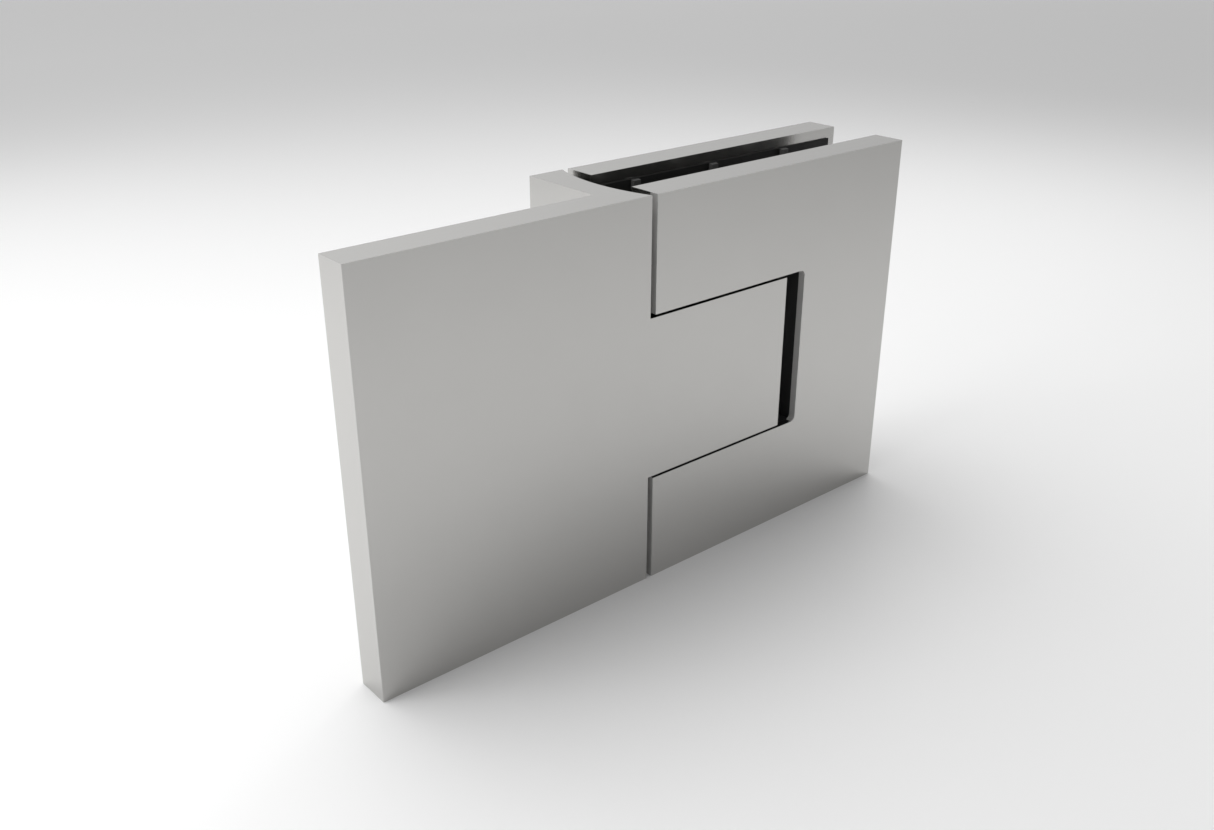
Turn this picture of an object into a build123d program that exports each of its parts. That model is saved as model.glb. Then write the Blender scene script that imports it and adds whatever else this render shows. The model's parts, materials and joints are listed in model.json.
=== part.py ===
from build123d import *
from math import hypot, sqrt
import os

# A double-acting glass door hinge: a post leaf with a tongue, and a clamp that holds the glass pane.
# Origin at the middle of the underside, +X from the leaf to the clamp, +Y to the back, +Z up. Millimetres.

# Outline of the hinge
height = 90.0
leaf_width = 69.7
leaf_gap = 1.5
clamp_width = 79.4
plate_thickness = 8.0
glass_thickness = 12.0
gasket_thickness = 0.5

# Leaf, its leg and its tongue
leg_width = 8.9
swing_clearance = 0.6
tongue_nose = 12.1
frame_hole_radius = 3.0
frame_hole_depth = 6.0
frame_hole_inset = 15.0
frame_hole_spacing_x = 30.0
frame_hole_spacing_z = 60.0

# Notch of the clamp, between two arms of equal height
arm_height = 25.65
pivot_inset = 28.8
notch_clearance = 0.6
nose_clearance = 0.5
notch_corner_radius = 1.4
lip = 1.75

# Pivot pin, its grub screws and its thrust washers
pin_radius = 6.0
turning_fit = 0.05
pin_end_clearance = 0.2
pin_chamfer = 0.5
cam_flat = 4.5
grub_flat_depth = 0.5
grub_radius = 2.5
grub_recess = 0.7
grub_socket_radius = 1.45
grub_socket_depth = 2.4
grub_inset = 5.5
grub_flat_margin = 1.5
washer_radius = 10.0
washer_thickness = 1.6
washer_bore_clearance = 0.1
axial_play = 0.05

# Bearing housing, bushes, detent springs and caps
housing_arm = 13.5
housing_web = 5.0
housing_corner = 2.0
housing_fit = 0.1
bush_wall = 1.5
bush_length = 6.0
spring_thickness = 1.0
spring_length = 20.0
spring_height = 5.4
spring_room = 1.6
spring_end_seat = 2.1
spring_end_clearance = 0.2
chamber_height = 6.0
cap_thickness = 2.2
cap_half = 11.8
cap_corner = 2.0

# Gaskets between the plates and the pane
gasket_inset = 2.5
cutout_clearance = 1.0
pip_side = 2.2
pip_height = 1.0
pip_draft = 6.0
pip_edge_gap = 0.1
pip_pitch = 24.0
pip_count = 3
pip_first = 9.4

# Clamp screws and the sleeves around them
screw_radius = 3.0
screw_head_radius = 5.8
screw_head_sink = 0.25
screw_engagement = 4.6
screw_hole_clearance = 0.3
screw_socket_radius = 2.3
screw_socket_depth = 2.6
sleeve_radius = 4.5
sleeve_side_gap = 2.0
sleeve_end_gap = 0.45
sleeve_pane_gap = 0.7
sleeve_bore_clearance = 0.2
blind_depth = 5.4
fastener_fit = 0.05

# Worked-out sizes
slot = glass_thickness + 2 * gasket_thickness
depth = slot + 2 * plate_thickness
back = depth / 2
front = -back
inner_front = front + plate_thickness
inner_back = back - plate_thickness
middle = height / 2

left = -(leaf_width + leaf_gap + clamp_width) / 2
leaf_edge = left + leaf_width
clamp_edge = leaf_edge + leaf_gap
right = clamp_edge + clamp_width
pivot = clamp_edge + pivot_inset
leg_face = leaf_edge - leg_width

# The leg is hollowed so that the clamp's corners clear it when the door swings
swing_radius = hypot(pivot_inset, back)
hollow_depth = swing_radius + swing_clearance - pivot_inset - leaf_gap

# The notch ends where the tongue's corners clear the plates
tongue_end = pivot + tongue_nose
nose_radius = hypot(tongue_nose, back)
notch_end = pivot + sqrt(nose_radius**2 - inner_back**2) + nose_clearance
notch_half = middle - arm_height
tongue_half = notch_half - notch_clearance
grub_pitch = 2 * (tongue_half - grub_inset)
grub_flat_half = grub_pitch / 2 + grub_radius + grub_flat_margin

# Heights above the middle of the hinge: each inner piece is made above it and mirrored below
washer_base = notch_half - axial_play - washer_thickness
chamber_base = notch_half + bush_length
chamber_top = chamber_base + chamber_height
housing_top = chamber_top + cap_thickness
pin_half = chamber_top - pin_end_clearance
housing_front = front + lip
housing_back = back - lip

# The clamp screws stand beside the housing's arms, and the pane's cut-out clears them and the housing
screw_offset_x = housing_arm + sleeve_side_gap + sleeve_radius
screw_offset_z = notch_half + housing_web + sleeve_end_gap + sleeve_radius
cutout_end = pivot + screw_offset_x + sleeve_radius + sleeve_pane_gap
spine_end = cutout_end - cutout_clearance
cutout_half = housing_top + cutout_clearance

# Spring chamber and screw heads
spring_outer = cam_flat + spring_thickness
chamber_half_x = spring_length / 2 + spring_end_clearance
chamber_half_y = spring_outer + spring_room
screw_head_height = screw_head_radius - screw_radius
screw_tip = inner_front - screw_engagement

front_plane = Plane.XZ.offset(back)
inner_front_plane = Plane.XZ.offset(-inner_front)
inner_back_plane = Plane.XZ.offset(-inner_back)
back_plane = Plane.XZ.offset(-back)
middle_plane = Plane.XY.offset(middle)
screw_places = [
    (pivot + side * screw_offset_x, middle + rise * screw_offset_z) for side in (-1, 1) for rise in (-1, 1)
]


def span(x_low, x_high, y_low, y_high):
    """A rectangle of the open sketch between two corners."""
    with Locations(((x_low + x_high) / 2, (y_low + y_high) / 2)):
        Rectangle(x_high - x_low, y_high - y_low)


def span_cut(x_low, x_high, y_low, y_high):
    """A rectangle taken out of the open sketch."""
    with Locations(((x_low + x_high) / 2, (y_low + y_high) / 2)):
        Rectangle(x_high - x_low, y_high - y_low, mode=Mode.SUBTRACT)


# Post leaf: plate, hollowed leg and full-depth tongue in one milled piece
with BuildPart() as leaf:
    with BuildSketch():
        with BuildLine():
            Polyline(
                (leaf_edge, front),
                (left, front),
                (left, inner_front),
                (leg_face, inner_front),
                (leg_face, back),
                (leaf_edge, back),
            )
            ThreePointArc((leaf_edge, back), (leaf_edge - hollow_depth, 0), (leaf_edge, front))
        make_face()
    extrude(amount=height)
    with BuildSketch(middle_plane):
        span(leg_face, tongue_end, front, back)
    extrude(amount=tongue_half, both=True)
    # Bore of the pivot pin, and a recess in each end for the thrust washer
    with BuildSketch(middle_plane):
        with Locations((pivot, 0)):
            Circle(pin_radius + fastener_fit)
    extrude(amount=tongue_half, both=True, mode=Mode.SUBTRACT)
    for rise in (-1, 1):
        with BuildSketch(Plane.XY.offset(middle + rise * washer_base)):
            with Locations((pivot, 0)):
                Circle(washer_radius + fastener_fit)
        extrude(amount=rise * washer_thickness, mode=Mode.SUBTRACT)
    # Tapped holes for the grub screws, from the nose into the pin's bore
    with BuildSketch(Plane.YZ.offset(tongue_end)):
        with Locations((0, middle)):
            with GridLocations(0, grub_pitch, 1, 2):
                Circle(grub_radius + fastener_fit)
    extrude(amount=-tongue_nose, mode=Mode.SUBTRACT)
    # Blind tapped holes in the back of the plate, for machine screws through the post
    with BuildSketch(inner_front_plane):
        with Locations((left + frame_hole_inset + frame_hole_spacing_x / 2, middle)):
            with GridLocations(frame_hole_spacing_x, frame_hole_spacing_z, 2, 2):
                Circle(frame_hole_radius)
    extrude(amount=frame_hole_depth, mode=Mode.SUBTRACT)
leaf.part.label = "leaf"

# Pivot pin: round in the tongue and bushes, four flats at each end, one flat for the grub screws
with BuildPart() as pivot_pin:
    with BuildSketch(middle_plane):
        with Locations((pivot, 0)):
            Circle(pin_radius)
    extrude(amount=pin_half, both=True)
    chamfer(pivot_pin.edges().filter_by(GeomType.CIRCLE), pin_chamfer)
    for rise in (-1, 1):
        with BuildSketch(Plane.XY.offset(middle + rise * chamber_base)):
            with Locations((pivot, 0)):
                Circle(pin_radius)
                Rectangle(2 * cam_flat, 2 * cam_flat, mode=Mode.SUBTRACT)
        extrude(amount=rise * chamber_height, mode=Mode.SUBTRACT)
    with BuildSketch(middle_plane):
        span(
            pivot + pin_radius - grub_flat_depth,
            pivot + pin_radius + grub_flat_depth,
            -pin_radius,
            pin_radius,
        )
    extrude(amount=grub_flat_half, both=True, mode=Mode.SUBTRACT)
pivot_pin.part.label = "pivot_pin"

# Two grub screws with hexagon sockets, tightened on the pin's flat
with BuildPart() as pin_grub_screws:
    with BuildSketch(Plane.YZ.offset(pivot + pin_radius - grub_flat_depth)):
        with Locations((0, middle)):
            with GridLocations(0, grub_pitch, 1, 2):
                Circle(grub_radius)
    extrude(amount=tongue_nose - pin_radius + grub_flat_depth - grub_recess)
    with BuildSketch(Plane.YZ.offset(tongue_end - grub_recess)):
        with Locations((0, middle)):
            with GridLocations(0, grub_pitch, 1, 2):
                RegularPolygon(grub_socket_radius, 6)
    extrude(amount=-grub_socket_depth, mode=Mode.SUBTRACT)
pin_grub_screws.part.label = "pin_grub_screws"


def thrust_washer(rise):
    """The washer at one end of the tongue, which the housing turns on."""
    with BuildPart() as washer:
        with BuildSketch(Plane.XY.offset(middle + rise * washer_base)):
            with Locations((pivot, 0)):
                Circle(washer_radius)
                Circle(pin_radius + washer_bore_clearance, mode=Mode.SUBTRACT)
        extrude(amount=rise * washer_thickness)
    return washer.part


upper_thrust_washer = thrust_washer(1)
upper_thrust_washer.label = "upper_thrust_washer"
lower_thrust_washer = thrust_washer(-1)
lower_thrust_washer.label = "lower_thrust_washer"


def housing_outline(room):
    """Front view of the bearing housing, grown by a clearance, before the notch is cut from it."""
    with BuildSketch(mode=Mode.PRIVATE) as outline:
        span(
            pivot - housing_arm - room,
            spine_end + room,
            middle - notch_half - housing_web - room,
            middle + notch_half + housing_web + room,
        )
        span(
            pivot - housing_arm - room,
            pivot + housing_arm + room,
            middle - housing_top - room,
            middle + housing_top + room,
        )
        levels = outline.vertices().group_by(Axis.Y)
        fillet([*levels[0], *levels[-1], *outline.vertices().group_by(Axis.X)[-1]], housing_corner)
    return outline.sketch


def clamp_outline():
    """Front view of a clamp plate, with its notch rounded in the two inner corners."""
    with BuildSketch(mode=Mode.PRIVATE) as notch:
        span(left, notch_end, middle - notch_half, middle + notch_half)
        fillet(notch.vertices().group_by(Axis.X)[-1], notch_corner_radius)
    with BuildSketch(mode=Mode.PRIVATE) as outline:
        span(clamp_edge, right, 0, height)
        add(notch.sketch, mode=Mode.SUBTRACT)
    return outline.sketch


# Front plate: plain outside, a pocket for the housing and blind tapped holes inside
with BuildPart() as front_plate:
    with BuildSketch(front_plane):
        add(clamp_outline())
    extrude(amount=-plate_thickness)
    with BuildSketch(inner_front_plane):
        add(housing_outline(housing_fit))
    extrude(amount=plate_thickness - lip, mode=Mode.SUBTRACT)
    with BuildSketch(inner_front_plane):
        with Locations(*screw_places):
            Circle(screw_radius + fastener_fit)
    extrude(amount=blind_depth, mode=Mode.SUBTRACT)
front_plate.part.label = "front_plate"

# Back plate: the same pocket, and countersunk holes for the clamp screws
with BuildPart() as back_plate:
    with BuildSketch(back_plane):
        add(clamp_outline())
    extrude(amount=plate_thickness)
    with BuildSketch(inner_back_plane):
        add(housing_outline(housing_fit))
    extrude(amount=-(plate_thickness - lip), mode=Mode.SUBTRACT)
    with Locations(Plane(origin=(0, back, 0), x_dir=(1, 0, 0), z_dir=(0, 1, 0))):
        with Locations(*[(x, -z) for x, z in screw_places]):
            CounterSinkHole(
                screw_radius + screw_hole_clearance,
                screw_head_radius + screw_hole_clearance,
                depth=plate_thickness,
            )
back_plate.part.label = "back_plate"


def cap_outline(room):
    """A square with its corners cut off, grown by a clearance."""
    with BuildSketch(mode=Mode.PRIVATE) as outline:
        Rectangle(2 * (cap_half + room), 2 * (cap_half + room))
        chamfer(outline.vertices(), cap_corner)
    return outline.sketch


# Bearing housing: one C-shaped block that carries both bushes and lies in the plates' pockets
with BuildPart() as bearing_housing:
    with BuildSketch(Plane.XZ.offset(-housing_back)):
        add(housing_outline(0))
        span_cut(left, notch_end, middle - notch_half, middle + notch_half)
    extrude(amount=housing_back - housing_front)
    # Hollow in the end wall that the tongue's corners swing through
    with BuildSketch(middle_plane):
        with Locations((pivot, 0)):
            Circle(nose_radius + nose_clearance)
    extrude(amount=notch_half, both=True, mode=Mode.SUBTRACT)
    for rise in (-1, 1):
        with BuildSketch(Plane.XY.offset(middle + rise * notch_half)):
            with Locations((pivot, 0)):
                Circle(pin_radius + turning_fit + bush_wall + fastener_fit)
        extrude(amount=rise * bush_length, mode=Mode.SUBTRACT)
        with BuildSketch(Plane.XY.offset(middle + rise * chamber_base)):
            with Locations((pivot, 0)):
                Rectangle(2 * chamber_half_x, 2 * spring_outer)
                Rectangle(2 * (chamber_half_x - spring_end_seat), 2 * chamber_half_y)
        extrude(amount=rise * chamber_height, mode=Mode.SUBTRACT)
        with BuildSketch(Plane.XY.offset(middle + rise * chamber_top)):
            with Locations((pivot, 0)):
                add(cap_outline(fastener_fit))
        extrude(amount=rise * cap_thickness, mode=Mode.SUBTRACT)
bearing_housing.part.label = "bearing_housing"


def bush(rise):
    """The sleeve bearing of one end of the pin, flush with the housing's thrust face."""
    with BuildPart() as sleeve_bearing:
        with BuildSketch(Plane.XY.offset(middle + rise * notch_half)):
            with Locations((pivot, 0)):
                Circle(pin_radius + turning_fit + bush_wall)
                Circle(pin_radius + turning_fit, mode=Mode.SUBTRACT)
        extrude(amount=rise * bush_length)
    return sleeve_bearing.part


upper_bush = bush(1)
upper_bush.label = "upper_bush"
lower_bush = bush(-1)
lower_bush.label = "lower_bush"


def detent_spring(rise, side):
    """A flat spring bar that lies on one flat of the pin's end and is held at its own two ends."""
    with BuildPart() as bar:
        spring_base = chamber_base + (chamber_height - spring_height) / 2
        with BuildSketch(Plane.XY.offset(middle + rise * spring_base)):
            with Locations((pivot, side * (cam_flat + spring_thickness / 2))):
                Rectangle(spring_length, spring_thickness)
        extrude(amount=rise * spring_height)
    return bar.part


upper_front_spring = detent_spring(1, -1)
upper_front_spring.label = "upper_front_spring"
upper_back_spring = detent_spring(1, 1)
upper_back_spring.label = "upper_back_spring"
lower_front_spring = detent_spring(-1, -1)
lower_front_spring.label = "lower_front_spring"
lower_back_spring = detent_spring(-1, 1)
lower_back_spring.label = "lower_back_spring"


def chamber_cap(rise):
    """The lid over one spring chamber, which lies in the housing's end and is shut in by the pockets."""
    with BuildPart() as lid:
        with BuildSketch(Plane.XY.offset(middle + rise * chamber_top)):
            with Locations((pivot, 0)):
                add(cap_outline(0))
        extrude(amount=rise * cap_thickness)
    return lid.part


upper_cap = chamber_cap(1)
upper_cap.label = "upper_cap"
lower_cap = chamber_cap(-1)
lower_cap.label = "lower_cap"


def countersunk_screw(shank_radius, head_radius, head_height, length, socket_radius, socket_depth):
    """A screw with its head's top at the origin, pointing down, with a hexagon socket."""
    with BuildPart(mode=Mode.PRIVATE) as screw:
        with BuildSketch(Plane.XZ):
            with BuildLine():
                Polyline(
                    (0, 0),
                    (head_radius, 0),
                    (shank_radius, -head_height),
                    (shank_radius, -length),
                    (0, -length),
                    close=True,
                )
            make_face()
        revolve(axis=Axis.Z)
        with BuildSketch():
            RegularPolygon(socket_radius, 6)
        extrude(amount=-socket_depth, mode=Mode.SUBTRACT)
    return screw.part


def gasket(face_plane, outward):
    """A thin rubber sheet round the pane's cut-out, with square pips at its upper and lower edges."""
    with BuildPart() as sheet:
        with BuildSketch(face_plane):
            span(clamp_edge + gasket_inset, right - gasket_inset, gasket_inset, height - gasket_inset)
            span_cut(left, cutout_end, middle - cutout_half, middle + cutout_half)
        extrude(amount=outward * gasket_thickness)
        pip_rise = middle - gasket_inset - pip_edge_gap - pip_side / 2
        with BuildSketch(face_plane.offset(outward * gasket_thickness)):
            for place in range(pip_count):
                pip_x = clamp_edge + gasket_inset + pip_first + place * pip_pitch
                with Locations((pip_x, middle + pip_rise), (pip_x, middle - pip_rise)):
                    Rectangle(pip_side, pip_side)
        extrude(amount=outward * pip_height, taper=pip_draft)
    return sheet.part


front_gasket = gasket(inner_front_plane, -1)
front_gasket.label = "front_gasket"
back_gasket = gasket(inner_back_plane, 1)
back_gasket.label = "back_gasket"

# Four countersunk screws that draw the back plate to the front plate
clamp_screw = countersunk_screw(
    screw_radius,
    screw_head_radius,
    screw_head_height,
    back - screw_head_sink - screw_tip,
    screw_socket_radius,
    screw_socket_depth,
)
with BuildPart() as clamp_screws:
    with Locations(Plane(origin=(0, back - screw_head_sink, 0), x_dir=(1, 0, 0), z_dir=(0, 1, 0))):
        with Locations(*[(x, -z) for x, z in screw_places]):
            add(clamp_screw)
clamp_screws.part.label = "clamp_screws"

# Four sleeves round the clamp screws, which set the plates' distance and guard the pane's edge
with BuildPart() as screw_sleeves:
    with BuildSketch(inner_front_plane):
        with Locations(*screw_places):
            Circle(sleeve_radius)
            Circle(screw_radius + sleeve_bore_clearance, mode=Mode.SUBTRACT)
    extrude(amount=-slot)
screw_sleeves.part.label = "screw_sleeves"

export_step(leaf.part, "parts/leaf.step")
export_step(pivot_pin.part, "parts/pivot_pin.step")
export_step(pin_grub_screws.part, "parts/pin_grub_screws.step")
export_step(upper_thrust_washer, "parts/upper_thrust_washer.step")
export_step(lower_thrust_washer, "parts/lower_thrust_washer.step")
export_step(front_plate.part, "parts/front_plate.step")
export_step(back_plate.part, "parts/back_plate.step")
export_step(bearing_housing.part, "parts/bearing_housing.step")
export_step(upper_bush, "parts/upper_bush.step")
export_step(lower_bush, "parts/lower_bush.step")
export_step(upper_front_spring, "parts/upper_front_spring.step")
export_step(upper_back_spring, "parts/upper_back_spring.step")
export_step(lower_front_spring, "parts/lower_front_spring.step")
export_step(lower_back_spring, "parts/lower_back_spring.step")
export_step(upper_cap, "parts/upper_cap.step")
export_step(lower_cap, "parts/lower_cap.step")
export_step(front_gasket, "parts/front_gasket.step")
export_step(back_gasket, "parts/back_gasket.step")
export_step(clamp_screws.part, "parts/clamp_screws.step")
export_step(screw_sleeves.part, "parts/screw_sleeves.step")
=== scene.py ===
import json
import math

import bmesh
import bpy
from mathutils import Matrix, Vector


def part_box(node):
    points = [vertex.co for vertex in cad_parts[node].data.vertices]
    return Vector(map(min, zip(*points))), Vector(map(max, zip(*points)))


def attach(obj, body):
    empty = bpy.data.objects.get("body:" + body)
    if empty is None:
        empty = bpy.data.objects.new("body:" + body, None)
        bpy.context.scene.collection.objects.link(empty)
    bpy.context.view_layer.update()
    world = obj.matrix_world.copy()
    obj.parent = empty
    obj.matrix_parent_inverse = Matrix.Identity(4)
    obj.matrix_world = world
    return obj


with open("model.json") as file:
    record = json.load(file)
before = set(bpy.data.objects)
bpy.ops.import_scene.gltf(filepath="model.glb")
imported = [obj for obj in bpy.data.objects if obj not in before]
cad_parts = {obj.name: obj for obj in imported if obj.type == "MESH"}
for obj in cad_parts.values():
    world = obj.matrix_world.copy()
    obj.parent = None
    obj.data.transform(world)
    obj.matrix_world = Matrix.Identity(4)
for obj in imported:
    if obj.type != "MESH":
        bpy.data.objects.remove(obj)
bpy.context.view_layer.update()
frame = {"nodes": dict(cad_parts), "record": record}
nodes = frame["nodes"]
mounts = {mount["name"]: mount for mount in frame["record"]["mounts"]}

# The leaf is one piece of stainless steel, milled with its leg and tongue, ground flat and
# then blasted to a fine satin. Its edges are only broken, by less than a tenth of a
# millimetre. It is screwed to the post from behind, so its show faces stay plain.


def node_tools(tree):
    """Two functions that add nodes to a tree and join them."""

    def add(kind, inputs=(), **settings):
        node = tree.nodes.new(kind)
        for key, value in settings.items():
            setattr(node, key, value)
        for socket, value in dict(inputs).items():
            node.inputs[socket].default_value = value
        return node

    def join(source, output, target, socket):
        tree.links.new(source.outputs[output], target.inputs[socket])

    return add, join


def new_material(name):
    """A material, its shader, and the tools that add nodes to it and join them."""
    material = bpy.data.materials.new(name)
    material.use_nodes = True
    return material, material.node_tree.nodes["Principled BSDF"], *node_tools(material.node_tree)


def noise(add, join, scale, detail, stretch=(1.0, 1.0, 1.0)):
    """Noise laid through the piece itself, in metres, which may be stretched along an axis."""
    place = add("ShaderNodeTexCoord")
    mapping = add("ShaderNodeMapping", {"Scale": stretch})
    join(place, "Object", mapping, "Vector")
    cloud = add("ShaderNodeTexNoise", {"Scale": scale, "Detail": detail})
    join(mapping, "Vector", cloud, "Vector")
    return cloud


def mixed_colour(add, join, source, output, first, second):
    """A colour between two others, each written out or given by a node."""
    mix = add("ShaderNodeMixRGB")
    join(source, output, mix, "Fac")
    for socket, colour in (("Color1", first), ("Color2", second)):
        if isinstance(colour, bpy.types.Node):
            join(colour, 0, mix, socket)
        else:
            mix.inputs[socket].default_value = (*colour, 1.0)
    return mix


def two_tones(add, join, shader, cloud, dark, light):
    """Colour that drifts between two close tones."""
    join(mixed_colour(add, join, cloud, "Fac", dark, light), 0, shader, "Base Color")


def mapped(add, join, source, output, low, high):
    """A noise's middle range, spread between two values."""
    middle_range = {"From Min": 0.3, "From Max": 0.7}
    span = add("ShaderNodeMapRange", {**middle_range, "To Min": low, "To Max": high})
    join(source, output, span, "Value")
    return span


def roughness_between(add, join, shader, cloud, smooth, rough):
    """Roughness that follows a noise between two values."""
    join(mapped(add, join, cloud, "Fac", smooth, rough), 0, shader, "Roughness")


def raised(add, join, shader, source, output, depth, strength):
    """A relief of a given depth in metres, from a noise or any other value."""
    bump = add("ShaderNodeBump", {"Distance": depth, "Strength": strength})
    join(source, output, bump, "Height")
    join(bump, "Normal", shader, "Normal")


def between(add, join, source, output, low, high):
    """1 where a value lies between two limits, and 0 elsewhere."""
    above = add("ShaderNodeMath", {1: low}, operation="GREATER_THAN")
    below = add("ShaderNodeMath", {1: high}, operation="LESS_THAN")
    both = add("ShaderNodeMath", operation="MULTIPLY")
    join(source, output, above, 0)
    join(source, output, below, 0)
    join(above, 0, both, 0)
    join(below, 0, both, 1)
    return both


def milled_faces_with_painted_light(add, join):
    """1 on the end faces of the slot and the notch near their front mouths, and 0 elsewhere: there the
    finish is rougher and a paler tone is painted on as painted light.
    """
    place = add("ShaderNodeTexCoord")
    at = add("ShaderNodeSeparateXYZ")
    facing = add("ShaderNodeSeparateXYZ")
    join(place, "Object", at, 0)
    join(place, "Normal", facing, 0)
    inside = between(add, join, at, "X", slot_start, notch_end)
    near_mouth = add("ShaderNodeMapRange", {"From Min": dull_and_lit_end, "From Max": dull_and_lit_start})
    join(at, "Y", near_mouth, "Value")
    turned = add("ShaderNodeMath", operation="ABSOLUTE")
    join(facing, "X", turned, 0)
    across = add("ShaderNodeMath", {1: least_turn}, operation="GREATER_THAN")
    join(turned, 0, across, 0)
    ends = add("ShaderNodeMath", operation="MULTIPLY")
    join(inside, 0, ends, 0)
    join(across, 0, ends, 1)
    # The mask of the mouth strip: it gives a rougher finish, and a paler tone that is painted light.
    dull = add("ShaderNodeMath", operation="MULTIPLY")
    join(ends, 0, dull, 0)
    join(near_mouth, 0, dull, 1)
    return dull


def blasted_steel(name, tone, roughness, painted_light_tone, milled_roughness):
    """Stainless steel with the even grain that fine glass beads leave. Near the front mouths of the slot
    and the notch its end faces are rougher, and painted paler as painted light.
    """
    material, shader, add, join = new_material(name)
    shader.inputs["Metallic"].default_value = 1.0
    grain = noise(add, join, bead_scale, 3.0)
    drift = noise(add, join, drift_scale, 2.0)
    milled_and_painted_light = milled_faces_with_painted_light(add, join)
    darker, lighter = ([share * c for c in tone] for share in (0.985, 1.015))
    blasted = mixed_colour(add, join, drift, "Fac", darker, lighter)
    # The paler tone on the mouth strip is painted light, standing in for the light that comes in at the
    # mouth.
    colour = mixed_colour(add, join, milled_and_painted_light, 0, blasted, painted_light_tone)
    join(colour, 0, shader, "Base Color")
    fine = mapped(add, join, grain, "Fac", roughness - roughness_drift, roughness + roughness_drift)
    dull = add("ShaderNodeMath", {1: milled_roughness - roughness}, operation="MULTIPLY")
    join(milled_and_painted_light, 0, dull, 0)
    total = add("ShaderNodeMath", operation="ADD")
    join(fine, 0, total, 0)
    join(dull, 0, total, 1)
    join(total, 0, shader, "Roughness")
    raised(add, join, shader, grain, "Fac", bead_depth, 0.5)
    return material


def break_edges(piece, width):
    """Cuts a narrow rounded edge where two faces meet, as a stone or a deburring tool leaves it."""
    flat = piece.modifiers.new("flat_faces", "DECIMATE")
    flat.decimate_type = "DISSOLVE"
    flat.angle_limit = math.radians(flat_angle)
    broken = piece.modifiers.new("broken_edge", "BEVEL")
    broken.width = width
    broken.segments = 2
    broken.limit_method = "ANGLE"
    broken.angle_limit = math.radians(sharp_angle)
    broken.harden_normals = True


def finish(node, material, edge=0.0001):
    """Gives a piece of the frame its finish, and breaks its edges."""
    piece = nodes[node]
    piece.data.materials.clear()
    piece.data.materials.append(material)
    break_edges(piece, edge)


slot_start = -0.009
notch_end = 0.045
# The strip at the front mouths, which gets a rougher finish and a paler tone of painted light
dull_and_lit_end = -0.0121
dull_and_lit_start = -0.0127
least_turn = 0.2
bead_scale = 6500.0
bead_depth = 0.000004
drift_scale = 90.0
roughness_drift = 0.03
flat_angle = 0.5
sharp_angle = 40.0
plate_edge = 0.00006
steel_tone = (0.542, 0.536, 0.522)
steel_roughness = 0.2
# The paler tone near the mouths is painted light; the higher roughness is a rougher milled finish.
mouth_painted_light_tone = (0.72, 0.715, 0.705)
mill_roughness = 0.85
satin_steel = blasted_steel("satin_steel", steel_tone, steel_roughness, mouth_painted_light_tone, mill_roughness)
finish("leaf", satin_steel, plate_edge)

# The four holes in the leaf's back are tapped for M6 screws. The leaf's solid has them at the
# thread's outer size, and the ridge of the thread is wound into each one here, as it is cut
# in the real steel, with a tapered start and end.
thread_pitch = 0.001
thread_height = 0.00054
thread_steps = 40
thread_turns = 5.2
thread_start = 0.0003
thread_taper = 0.3
thread_seat = 0.00003
# Half the ridge's width at its root and at its crest, as a share of the pitch
root_half = 0.44
crest_half = 0.08


def thread_ridge(shell, mouth, radius):
    """One helical ridge that points inward from a hole's wall, along -Y from its mouth."""
    steps = round(thread_turns * thread_steps)
    root = radius + thread_seat
    rings = []
    for step in range(steps + 1):
        turn = step / thread_steps
        angle = 2.0 * math.pi * turn
        grown = min(1.0, turn / thread_taper, (thread_turns - turn) / thread_taper)
        depth = mouth.y - thread_start - turn * thread_pitch
        crest = radius - max(grown, 0.0) * thread_height
        section = ((root, root_half), (crest, crest_half), (crest, -crest_half), (root, -root_half))
        rings.append([
            shell.verts.new((
                mouth.x + r * math.cos(angle),
                depth + side * thread_pitch,
                mouth.z + r * math.sin(angle),
            ))
            for r, side in section
        ])
    for before, after in zip(rings, rings[1:]):
        for corner in range(4):
            following = (corner + 1) % 4
            shell.faces.new((before[corner], before[following], after[following], after[corner]))
    shell.faces.new(rings[0][::-1])
    shell.faces.new(rings[-1])


frame_screws = mounts["frame_screws"]
hole_middle = Vector(frame_screws["pos_m"])
hole_radius = frame_screws["dims"]["hole_r_mm"] / 1000.0
half_x = frame_screws["dims"]["spacing_x_mm"] / 2000.0
half_z = frame_screws["dims"]["spacing_y_mm"] / 2000.0
shell = bmesh.new()
for side_x in (-1, 1):
    for side_z in (-1, 1):
        thread_ridge(shell, hole_middle + Vector((side_x * half_x, 0.0, side_z * half_z)), hole_radius)
bmesh.ops.recalc_face_normals(shell, faces=shell.faces)
thread_mesh = bpy.data.meshes.new("frame_hole_threads")
shell.to_mesh(thread_mesh)
shell.free()
threads = bpy.data.objects.new("frame_hole_threads", thread_mesh)
bpy.context.scene.collection.objects.link(threads)
threads.data.materials.append(satin_steel)
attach(threads, "leaf")

# The pivot pin is hardened steel, ground round where it turns, with four flats at each end
# for the springs. It is a close fit in the tongue and held by the two grub screws, which
# are black oxidised and go in from the tongue's nose.


def rings_about(add, join, middle, spread, across, pitch):
    """A wave of fine rings round an axis, repeated at the places that lie mirrored about a middle."""
    place = add("ShaderNodeTexCoord")
    shift = add("ShaderNodeVectorMath", {1: middle}, operation="SUBTRACT")
    join(place, "Object", shift, 0)
    fold = add("ShaderNodeVectorMath", operation="ABSOLUTE")
    join(shift, 0, fold, 0)
    centre = add("ShaderNodeVectorMath", {1: spread}, operation="SUBTRACT")
    join(fold, 0, centre, 0)
    flatten = add("ShaderNodeVectorMath", {1: across}, operation="MULTIPLY")
    join(centre, 0, flatten, 0)
    reach = add("ShaderNodeVectorMath", operation="LENGTH")
    join(flatten, 0, reach, 0)
    turns = add("ShaderNodeMath", {1: 2.0 * math.pi / pitch}, operation="MULTIPLY")
    join(reach, "Value", turns, 0)
    wave = add("ShaderNodeMath", operation="SINE")
    join(turns, 0, wave, 0)
    return wave


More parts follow.
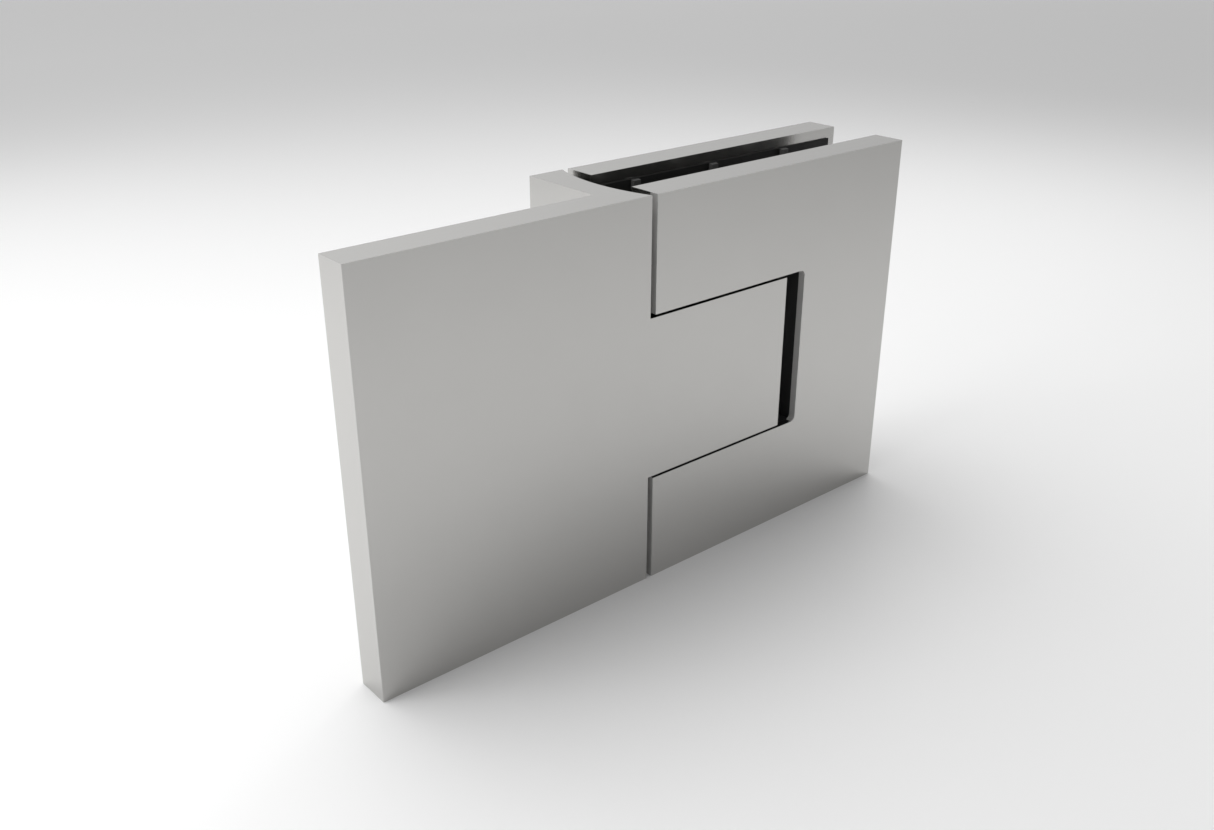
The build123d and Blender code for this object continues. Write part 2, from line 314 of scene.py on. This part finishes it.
def turned_steel(name, tone, roughness, middle, spread, across):
    """Steel with the fine rings that a lathe tool leaves on its end faces."""
    material, shader, add, join = new_material(name)
    shader.inputs["Metallic"].default_value = 1.0
    grain = noise(add, join, turned_scale, 3.0)
    two_tones(add, join, shader, grain, [0.94 * c for c in tone], [1.04 * c for c in tone])
    roughness_between(add, join, shader, grain, roughness - 0.04, roughness + 0.05)
    rings = rings_about(add, join, middle, spread, across, turned_pitch)
    raised(add, join, shader, rings, 0, turned_depth, 0.4)
    return material


def middle_and_spread(node, edge):
    """The middle of a node's box, and how far the axes of its corner pieces lie from it."""
    low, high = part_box(node)
    middle = (low + high) / 2.0
    half = (high - low) / 2.0
    return middle, Vector([max(0.0, reach - edge) for reach in half])


turned_scale = 3000.0
turned_pitch = 0.00022
turned_depth = 0.000003
# Farther than any piece reaches, so that a piece by itself has its rings about its middle
on_axis = 1.0
about_x = (0.0, 1.0, 1.0)
about_y = (1.0, 0.0, 1.0)
about_z = (1.0, 1.0, 0.0)
pin_tone = (0.5, 0.5, 0.495)
pin_middle, pin_spread = middle_and_spread("pivot_pin", on_axis)
pin_steel = turned_steel("pin_steel", pin_tone, 0.22, pin_middle, pin_spread, about_z)
finish("pivot_pin", pin_steel)
grub_tone = (0.12, 0.12, 0.125)
grub_radius = 0.0025
grub_edge = 0.00008
grub_middle, grub_spread = middle_and_spread("pin_grub_screws", grub_radius)
grub_steel = turned_steel("grub_steel", grub_tone, 0.38, grub_middle, grub_spread, about_x)
finish("pin_grub_screws", grub_steel, grub_edge)

# A thrust washer of white acetal lies in a recess in each end of the tongue. Both are turned
# from rod, and the clamp's upper arm rests and turns on the upper one.
washer_pitch = 0.0003
washer_depth = 0.000006


def washer_plastic():
    material, shader, add, join = new_material("washer_acetal")
    cloud = noise(add, join, 500.0, 2.0)
    two_tones(add, join, shader, cloud, (0.74, 0.74, 0.71), (0.8, 0.8, 0.77))
    roughness_between(add, join, shader, cloud, 0.34, 0.44)
    middle, spread = middle_and_spread("upper_thrust_washer", on_axis)
    rings = rings_about(add, join, middle, spread, about_z, washer_pitch)
    raised(add, join, shader, rings, 0, washer_depth, 0.4)
    return material


acetal = washer_plastic()
for end in ("upper", "lower"):
    finish(f"{end}_thrust_washer", acetal)

# The clamp's two plates are cut from 8 mm stainless bar, milled and blasted like the leaf.
# Outside, the front one has only its notch, and the back one also has the four countersinks
# of the clamp screws.
for plate in ("front_plate", "back_plate"):
    finish(plate, satin_steel, plate_edge)

# One C-shaped moulding of black glass-filled nylon carries the bushes and lies in pockets
# of both plates. Two lids of the same plastic shut its spring chambers, and the pockets
# keep them in.
pebble_depth = 0.00003
moulding_edge = 0.0002


def black_moulding():
    material, shader, add, join = new_material("black_housing")
    fibres = noise(add, join, 900.0, 3.0, (1.0, 1.0, 0.25))
    pebbles = noise(add, join, 4200.0, 2.0)
    two_tones(add, join, shader, fibres, (0.010, 0.010, 0.0105), (0.018, 0.018, 0.0185))
    roughness_between(add, join, shader, fibres, 0.46, 0.6)
    raised(add, join, shader, pebbles, "Fac", pebble_depth, 0.6)
    return material


moulding = black_moulding()
for node in ("bearing_housing", "upper_cap", "lower_cap"):
    finish(node, moulding, moulding_edge)

# The two bushes that the pin turns in are sintered bronze, full of oil, with open pores.
# One sits in each arm of the housing, with a close fit.
pore_depth = 0.00003


def sintered_bronze():
    material, shader, add, join = new_material("bush_bronze")
    shader.inputs["Metallic"].default_value = 1.0
    place = add("ShaderNodeTexCoord")
    pores = add("ShaderNodeTexVoronoi", {"Scale": 3800.0}, feature="F1")
    join(place, "Object", pores, "Vector")
    stain = noise(add, join, 350.0, 2.0)
    two_tones(add, join, shader, stain, (0.36, 0.22, 0.1), (0.5, 0.32, 0.15))
    roughness_between(add, join, shader, stain, 0.34, 0.48)
    raised(add, join, shader, pores, "Distance", pore_depth, 0.5)
    return material


bronze = sintered_bronze()
for end in ("upper", "lower"):
    finish(f"{end}_bush", bronze)

# Four flat bars of blued spring strip press on the pin's flats. They are cut to length and
# held by their own ends, so the door stops by itself when closed and when wide open.
rolled_depth = 0.000004
spring_edge = 0.00015


def blued_spring():
    material, shader, add, join = new_material("spring_steel")
    shader.inputs["Metallic"].default_value = 1.0
    heat = noise(add, join, 160.0, 2.0, (1.0, 1.0, 0.4))
    rolled = noise(add, join, 2500.0, 2.0, (0.04, 1.0, 1.0))
    two_tones(add, join, shader, heat, (0.07, 0.09, 0.19), (0.16, 0.13, 0.17))
    roughness_between(add, join, shader, rolled, 0.2, 0.32)
    raised(add, join, shader, rolled, "Fac", rolled_depth, 0.5)
    return material


spring_finish = blued_spring()
for end in ("upper", "lower"):
    for side in ("front", "back"):
        finish(f"{end}_{side}_spring", spring_finish, spring_edge)

# A thin sheet of black rubber is glued to the inside of each plate, so that the pane is
# not gripped by bare metal. Its cut edges are sharp, and the small square pips that stand
# on it and press on the glass are of a softer, paler rubber.
pip_reach = 0.00595
pip_tone = (0.09, 0.09, 0.088)
skin_depth = 0.00002
sheet_edge = 0.00006


def sheet_rubber():
    material, shader, add, join = new_material("gasket_rubber")
    bloom = noise(add, join, 260.0, 3.0)
    skin = noise(add, join, 5200.0, 2.0)
    place = add("ShaderNodeTexCoord")
    at = add("ShaderNodeSeparateXYZ")
    join(place, "Object", at, 0)
    pips = between(add, join, at, "Y", -pip_reach, pip_reach)
    sheet = mixed_colour(add, join, bloom, "Fac", (0.008, 0.008, 0.008), (0.016, 0.016, 0.0155))
    join(mixed_colour(add, join, pips, 0, sheet, pip_tone), 0, shader, "Base Color")
    roughness_between(add, join, shader, bloom, 0.58, 0.72)
    raised(add, join, shader, skin, "Fac", skin_depth, 0.5)
    return material


rubber = sheet_rubber()
for side in ("front", "back"):
    finish(f"{side}_gasket", rubber, sheet_edge)

# Four countersunk screws of stainless steel draw the plates together from behind, each
# through a sleeve of natural nylon that keeps the pane's edge off the steel.
screw_tone = (0.56, 0.56, 0.55)
screw_head_radius = 0.0058
sleeve_depth = 0.00003
screw_middle, screw_spread = middle_and_spread("clamp_screws", screw_head_radius)
screw_steel = turned_steel("screw_steel", screw_tone, 0.24, screw_middle, screw_spread, about_y)
finish("clamp_screws", screw_steel)


def natural_nylon():
    material, shader, add, join = new_material("sleeve_nylon")
    shader.inputs["Subsurface Weight"].default_value = 0.15
    shader.inputs["Subsurface Radius"].default_value = (0.001, 0.001, 0.0008)
    cloud = noise(add, join, 420.0, 3.0)
    two_tones(add, join, shader, cloud, (0.56, 0.55, 0.5), (0.64, 0.63, 0.58))
    roughness_between(add, join, shader, cloud, 0.38, 0.5)
    raised(add, join, shader, cloud, "Fac", sleeve_depth, 0.4)
    return material


finish("screw_sleeves", natural_nylon())

# The floor is a sweep of pale paper. Far in front and far behind it is painted paler, as painted light
# where the lamps' light falls off. The light is soft and comes mostly from behind and from the left, so
# the shadow falls in front.
floor_size = 60.0
near_paper = (0.9, 0.9, 0.9)
# Painted light: the paler tone that the floor takes far away
far_paper_painted_light = (0.99, 0.99, 0.99)
painted_light_start = 0.25
painted_light_full = 0.9
paper_roughness = 0.9
paper_gloss = 0.2
bpy.ops.mesh.primitive_plane_add(size=floor_size, location=(0.0, 0.0, 0.0))
floor = bpy.context.object
floor.name = "studio_floor"
floor_material, floor_shader, floor_add, floor_join = new_material("floor_paper")
floor_place = floor_add("ShaderNodeTexCoord")
floor_reach = floor_add("ShaderNodeSeparateXYZ")
floor_join(floor_place, "Object", floor_reach, 0)
floor_off = floor_add("ShaderNodeMath", operation="ABSOLUTE")
floor_join(floor_reach, "Y", floor_off, 0)
# How much painted light the floor takes, growing with the distance along Y
floor_painted_light_share = floor_add("ShaderNodeMapRange", {"From Min": painted_light_start, "From Max": painted_light_full})
floor_join(floor_off, 0, floor_painted_light_share, "Value")
floor_tone_with_painted_light = mixed_colour(floor_add, floor_join, floor_painted_light_share, 0, near_paper, far_paper_painted_light)
floor_join(floor_tone_with_painted_light, 0, floor_shader, "Base Color")
floor_shader.inputs["Roughness"].default_value = paper_roughness
floor_shader.inputs["Specular IOR Level"].default_value = paper_gloss
floor.data.materials.append(floor_material)

# The studio is brightest high up behind the hinge. At the horizon it has the far floor's
# tone, so that no line shows where the floor ends.
sky_level = 0.23
sky_behind = 2.36
horizon_tone = 0.52
horizon_height = 0.3
studio = bpy.data.worlds.new("studio")
bpy.context.scene.world = studio
studio.use_nodes = True
sky_add, sky_join = node_tools(studio.node_tree)
background = studio.node_tree.nodes["Background"]
background.inputs["Color"].default_value = (1.0, 1.0, 1.0, 1.0)
sky_place = sky_add("ShaderNodeTexCoord")
toward = sky_add("ShaderNodeSeparateXYZ")
sky_join(sky_place, "Generated", toward, 0)
even_range = {"From Max": horizon_height, "To Min": horizon_tone, "To Max": sky_level}
even_part = sky_add("ShaderNodeMapRange", even_range)
sky_join(toward, "Z", even_part, "Value")
behind = sky_add("ShaderNodeMath", {1: 0.0}, operation="MAXIMUM")
sky_join(toward, "Y", behind, 0)
high_behind = sky_add("ShaderNodeMath", operation="MULTIPLY")
sky_join(behind, 0, high_behind, 0)
sky_join(toward, "Z", high_behind, 1)
strength = sky_add("ShaderNodeMath", {1: sky_behind}, operation="MULTIPLY_ADD")
sky_join(high_behind, 0, strength, 0)
sky_join(even_part, 0, strength, 2)
sky_join(strength, 0, background, "Strength")


def soft_box(name, place, size, power):
    """A square lamp, turned to the hinge, that leaves no white patch in the steel."""
    lamp = bpy.data.lights.new(name, "AREA")
    lamp.shape = "SQUARE"
    lamp.size = size
    lamp.energy = power
    box = bpy.data.objects.new(name, lamp)
    bpy.context.scene.collection.objects.link(box)
    box.visible_glossy = False
    box.location = place
    box.rotation_euler = (lit_place - Vector(place)).to_track_quat("-Z", "Y").to_euler()


lit_place = Vector((-0.02, 0.02, 0.0))
soft_box("back_left_light", (-0.15, 0.24, 0.3), 0.5, 0.48)
soft_box("top_light", (0.0, 0.0, 0.45), 0.4, 0.4)
soft_box("left_light", (-0.36, 0.06, 0.3), 0.27, 0.64)
soft_box("right_light", (0.36, 0.12, 0.36), 0.27, 0.46)

# The camera stands where the photograph was taken from, and looks down at the hinge.
camera_place = (-0.16473, -0.18789, 0.15049)
camera_direction = Vector((0.5873, 0.6918, -0.4201))
camera_lens = 35.44
camera_sensor = 36.0
camera_nearest = 0.01
camera_data = bpy.data.cameras.new("camera")
camera = bpy.data.objects.new("camera", camera_data)
bpy.context.scene.collection.objects.link(camera)
camera_data.lens = camera_lens
camera_data.sensor_width = camera_sensor
camera_data.clip_start = camera_nearest
camera.location = camera_place
camera.rotation_euler = camera_direction.to_track_quat("-Z", "Y").to_euler()
bpy.context.scene.camera = camera
bpy.context.scene.view_settings.view_transform = "Standard"
